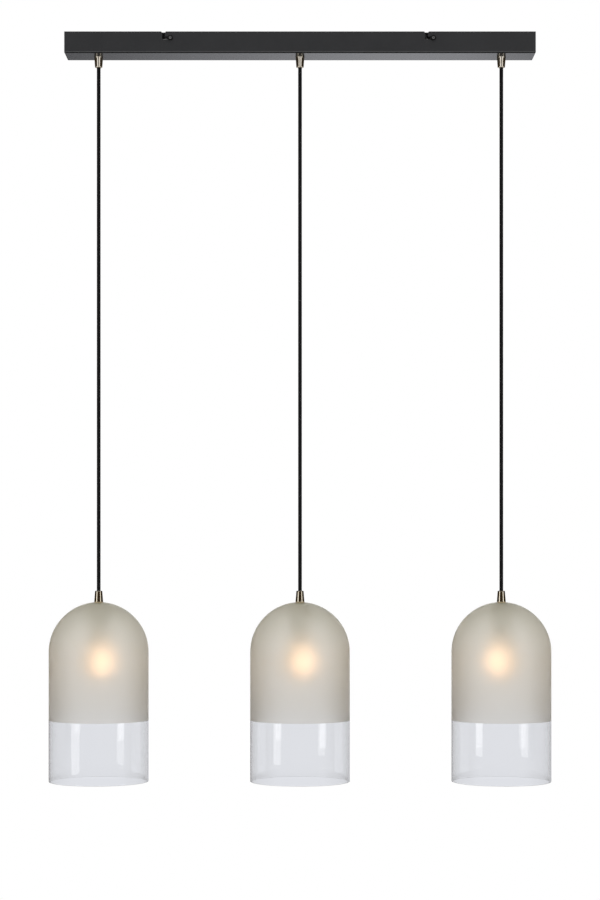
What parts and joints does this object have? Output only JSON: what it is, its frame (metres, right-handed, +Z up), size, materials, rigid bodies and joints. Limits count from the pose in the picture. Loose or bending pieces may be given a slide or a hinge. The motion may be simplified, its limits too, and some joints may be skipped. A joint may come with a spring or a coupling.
{
  "type": "pendant light",
  "caption": "Pendant light with domed glass shades, frosted above and clear below, on textile cords with metal cord grips under a slim ceiling bar.",
  "frame": {"origin": "middle of the ceiling bracket's upper face, in the ceiling plane", "axes": "+Z up out of the ceiling face, X along the bar, -Y towards the room"},
  "size_m": [0.858, 0.17, 1.2748],
  "materials": {
    "charcoal_steel": "satin charcoal powder coat",
    "zinc_steel": "zinc-plated steel",
    "black_screw": "black-coated steel",
    "antique_brass": "polished antique brass",
    "plain_brass": "bright brass",
    "nylon": "natural nylon",
    "black_textile": "braided textile",
    "shade_glass": "satin-frosted above, clear below",
    "gasket_rubber": "translucent silicone",
    "holder_plastic": "moulded heat-resistant plastic",
    "bulb_metal": "nickel-plated",
    "bulb_glass": "clear",
    "bulb_glow": "lit filament",
    "terminal_plastic": "moulded",
    "core_brown": "insulation",
    "core_blue": "insulation",
    "core_earth": "insulation"
  },
  "bodies": {
    "bracket": {"ceiling_bracket": "black_screw", "side_screws": "black_screw"},
    "bar": {"ceiling_bar": "charcoal_steel", "upper_cone_left": "antique_brass", "upper_cone_centre": "antique_brass", "upper_cone_right": "antique_brass", "upper_collets": "nylon", "upper_nipples": "zinc_steel", "upper_washers": "zinc_steel", "upper_locknuts": "zinc_steel", "cord_tails": "black_textile", "terminal_block": "terminal_plastic", "terminal_screws": "zinc_steel", "stud_nuts": "zinc_steel", "earth_wire": "core_earth", "live_wires": "core_brown", "neutral_wires": "core_blue"},
    "hanging_cord_left": {"cord_left": "black_textile"},
    "shade_left": {"lower_cone_left": "antique_brass", "lower_collet_left": "nylon", "lower_nipple_left": "zinc_steel", "cord_end_left": "black_textile", "shade_gaskets_left": "gasket_rubber", "glass_shade_left": "shade_glass", "holder_cap_left": "holder_plastic", "holder_body_left": "holder_plastic", "holder_contacts_left": "plain_brass"},
    "tip_left": {"bulb_tip_left": "bulb_metal"},
    "bulb_left": {"bulb_cap_left": "bulb_metal", "bulb_glass_left": "bulb_glass", "bulb_filament_left": "bulb_glow"},
    "hanging_cord_centre": {"cord_centre": "black_textile"},
    "shade_centre": {"lower_cone_centre": "antique_brass", "lower_collet_centre": "nylon", "lower_nipple_centre": "zinc_steel", "cord_end_centre": "black_textile", "shade_gaskets_centre": "gasket_rubber", "glass_shade_centre": "shade_glass", "holder_cap_centre": "holder_plastic", "holder_body_centre": "holder_plastic", "holder_contacts_centre": "plain_brass"},
    "tip_centre": {"bulb_tip_centre": "bulb_metal"},
    "bulb_centre": {"bulb_cap_centre": "bulb_metal", "bulb_glass_centre": "bulb_glass", "bulb_filament_centre": "bulb_glow"},
    "hanging_cord_right": {"cord_right": "black_textile"},
    "shade_right": {"lower_cone_right": "antique_brass", "lower_collet_right": "nylon", "lower_nipple_right": "zinc_steel", "cord_end_right": "black_textile", "shade_gaskets_right": "gasket_rubber", "glass_shade_right": "shade_glass", "holder_cap_right": "holder_plastic", "holder_body_right": "holder_plastic", "holder_contacts_right": "plain_brass"},
    "tip_right": {"bulb_tip_right": "bulb_metal"},
    "bulb_right": {"bulb_cap_right": "bulb_metal", "bulb_glass_right": "bulb_glass", "bulb_filament_right": "bulb_glow"}
  },
  "joints": [
    {"name": "bar_slide", "type": "slide", "parent": "bracket", "child": "bar", "axis": [1, 0, 0], "range_m": [0, 0.0114]},
    {"name": "cord_swing_left", "type": "hinge", "parent": "bar", "child": "hanging_cord_left", "pos_m": [-0.344, 0, -0.0552], "axis": [1, 0, 0], "range_deg": [-30, 30]},
    {"name": "shade_tilt_left", "type": "hinge", "parent": "hanging_cord_left", "child": "shade_left", "pos_m": [-0.344, 0, -0.949], "axis": [0, 1, 0], "range_deg": [-15, 15]},
    {"name": "bulb_travel_left", "type": "slide", "parent": "shade_left", "child": "tip_left", "axis": [0, 0, -1], "range_m": [0, 0.011]},
    {"name": "bulb_turn_left", "type": "hinge", "parent": "tip_left", "child": "bulb_left", "pos_m": [-0.344, 0, -1.07], "axis": [0, 0, -1], "range_deg": [0, 1080]},
    {"name": "cord_swing_centre", "type": "hinge", "parent": "bar", "child": "hanging_cord_centre", "pos_m": [0, 0, -0.0552], "axis": [1, 0, 0], "range_deg": [-30, 30]},
    {"name": "shade_tilt_centre", "type": "hinge", "parent": "hanging_cord_centre", "child": "shade_centre", "pos_m": [0, 0, -0.949], "axis": [0, 1, 0], "range_deg": [-15, 15]},
    {"name": "bulb_travel_centre", "type": "slide", "parent": "shade_centre", "child": "tip_centre", "axis": [0, 0, -1], "range_m": [0, 0.011]},
    {"name": "bulb_turn_centre", "type": "hinge", "parent": "tip_centre", "child": "bulb_centre", "pos_m": [0, 0, -1.07], "axis": [0, 0, -1], "range_deg": [0, 1080]},
    {"name": "cord_swing_right", "type": "hinge", "parent": "bar", "child": "hanging_cord_right", "pos_m": [0.344, 0, -0.0552], "axis": [1, 0, 0], "range_deg": [-30, 30]},
    {"name": "shade_tilt_right", "type": "hinge", "parent": "hanging_cord_right", "child": "shade_right", "pos_m": [0.344, 0, -0.949], "axis": [0, 1, 0], "range_deg": [-15, 15]},
    {"name": "bulb_travel_right", "type": "slide", "parent": "shade_right", "child": "tip_right", "axis": [0, 0, -1], "range_m": [0, 0.011]},
    {"name": "bulb_turn_right", "type": "hinge", "parent": "tip_right", "child": "bulb_right", "pos_m": [0.344, 0, -1.07], "axis": [0, 0, -1], "range_deg": [0, 1080]}
  ],
  "couplings": [
    {"joint": "bulb_travel_left", "follows": "bulb_turn_left", "m_per_rad": 0.00057773},
    {"joint": "bulb_travel_centre", "follows": "bulb_turn_centre", "m_per_rad": 0.00057773},
    {"joint": "bulb_travel_right", "follows": "bulb_turn_right", "m_per_rad": 0.00057773}
  ]
}
